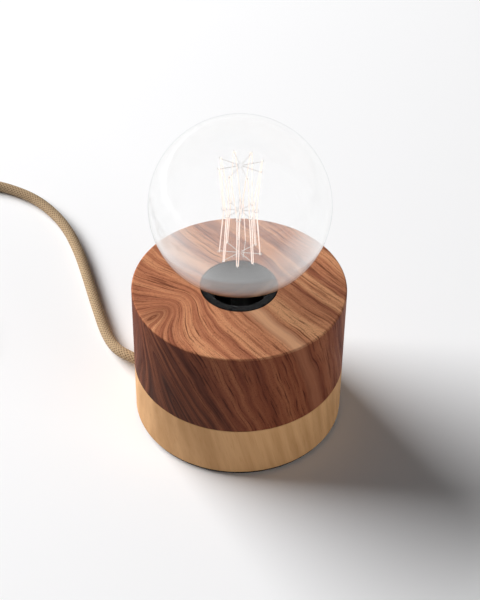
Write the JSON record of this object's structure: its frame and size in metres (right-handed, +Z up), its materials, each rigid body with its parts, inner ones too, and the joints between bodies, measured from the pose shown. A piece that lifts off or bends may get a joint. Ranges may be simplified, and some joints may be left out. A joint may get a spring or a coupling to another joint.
{
  "type": "table lamp",
  "caption": "Low round two-wood table lamp with a flush lampholder, a large clear globe bulb with a squirrel-cage filament, and a fabric cord with switch and flat plug.",
  "frame": {"origin": "centre of the underside of the base pad, on the surface the lamp stands on", "axes": "+Z up along the base's and the bulb's axis; +X to the right and +Y away from the camera of the picture; the cord leaves at the back left"},
  "size_m": [0.3265, 0.2853, 0.1885],
  "materials": {
    "black_pad": "matte",
    "maple": "satin, open-grained",
    "walnut": "satin, oiled",
    "beech_dowel": "matte",
    "zinc_steel": "plated",
    "black_holder": "glossy",
    "white_core": "matte",
    "brass": "satin",
    "clear_glass": "clear, polished",
    "black_glass": "glossy",
    "support_wire": "drawn wire",
    "filament_wire": "glowing faintly",
    "cap_metal": "satin",
    "solder": "dull",
    "braid": "woven, matte",
    "core_insulation": "matte",
    "black_clamp": "matte",
    "black_switch": "satin gloss",
    "black_strap": "matte",
    "black_plug": "matte",
    "nickel_pin": "nickel plated"
  },
  "bodies": {
    "lamp": {"base_pad": "black_pad", "maple_base": "maple", "walnut_block": "walnut", "dowel_1": "beech_dowel", "dowel_2": "beech_dowel", "threaded_nipple": "zinc_steel", "nipple_washer": "zinc_steel", "nipple_nut": "zinc_steel", "holder_cap": "black_holder", "holder_skirt": "black_holder", "holder_core": "white_core", "thread_sleeve": "brass", "contact_tongue": "brass", "terminal_1": "brass", "terminal_2": "brass", "terminal_screw_1": "zinc_steel", "terminal_screw_2": "zinc_steel", "cord_inner": "braid", "core_wire_1": "core_insulation", "core_wire_2": "core_insulation", "cord_grip_upper": "black_clamp", "cord_grip_lower": "black_clamp", "grip_screw_1": "zinc_steel", "grip_screw_2": "zinc_steel", "cord_free": "braid", "cord_link": "braid", "cord_coil": "braid", "cord_end": "braid", "cord_strap": "black_strap", "switch_lower": "black_switch", "switch_upper": "black_switch", "switch_screw_1": "zinc_steel", "switch_screw_2": "zinc_steel", "plug_body": "black_plug", "plug_pin_1": "nickel_pin", "plug_pin_2": "nickel_pin"},
    "bulb_contact": {"cap_contact": "solder"},
    "bulb": {"bulb_glass": "clear_glass", "glass_stem": "clear_glass", "support_rod": "clear_glass", "top_supports": "support_wire", "middle_supports": "support_wire", "lower_supports": "support_wire", "filament": "filament_wire", "lead_wire_1": "support_wire", "lead_wire_2": "support_wire", "cap_shell": "cap_metal", "cap_insulator": "black_glass"},
    "rocker": {"switch_rocker": "black_switch"}
  },
  "joints": [
    {"name": "bulb_rise", "type": "slide", "parent": "lamp", "child": "bulb_contact", "axis": [0, 0, 1], "range_m": [0, 0.01815]},
    {"name": "bulb_turn", "type": "hinge", "parent": "bulb_contact", "child": "bulb", "pos_m": [0, 0, 0.0525], "axis": [0, 0, 1], "range_deg": [0, 1800]},
    {"name": "rocker_tilt", "type": "hinge", "parent": "lamp", "child": "rocker", "pos_m": [-0.23188, 0.13571, 0.012], "axis": [-0.8192, 0.5736, 0], "range_deg": [0, 24]}
  ],
  "couplings": [
    {"joint": "bulb_rise", "follows": "bulb_turn", "m_per_rad": 0.00057757}
  ]
}
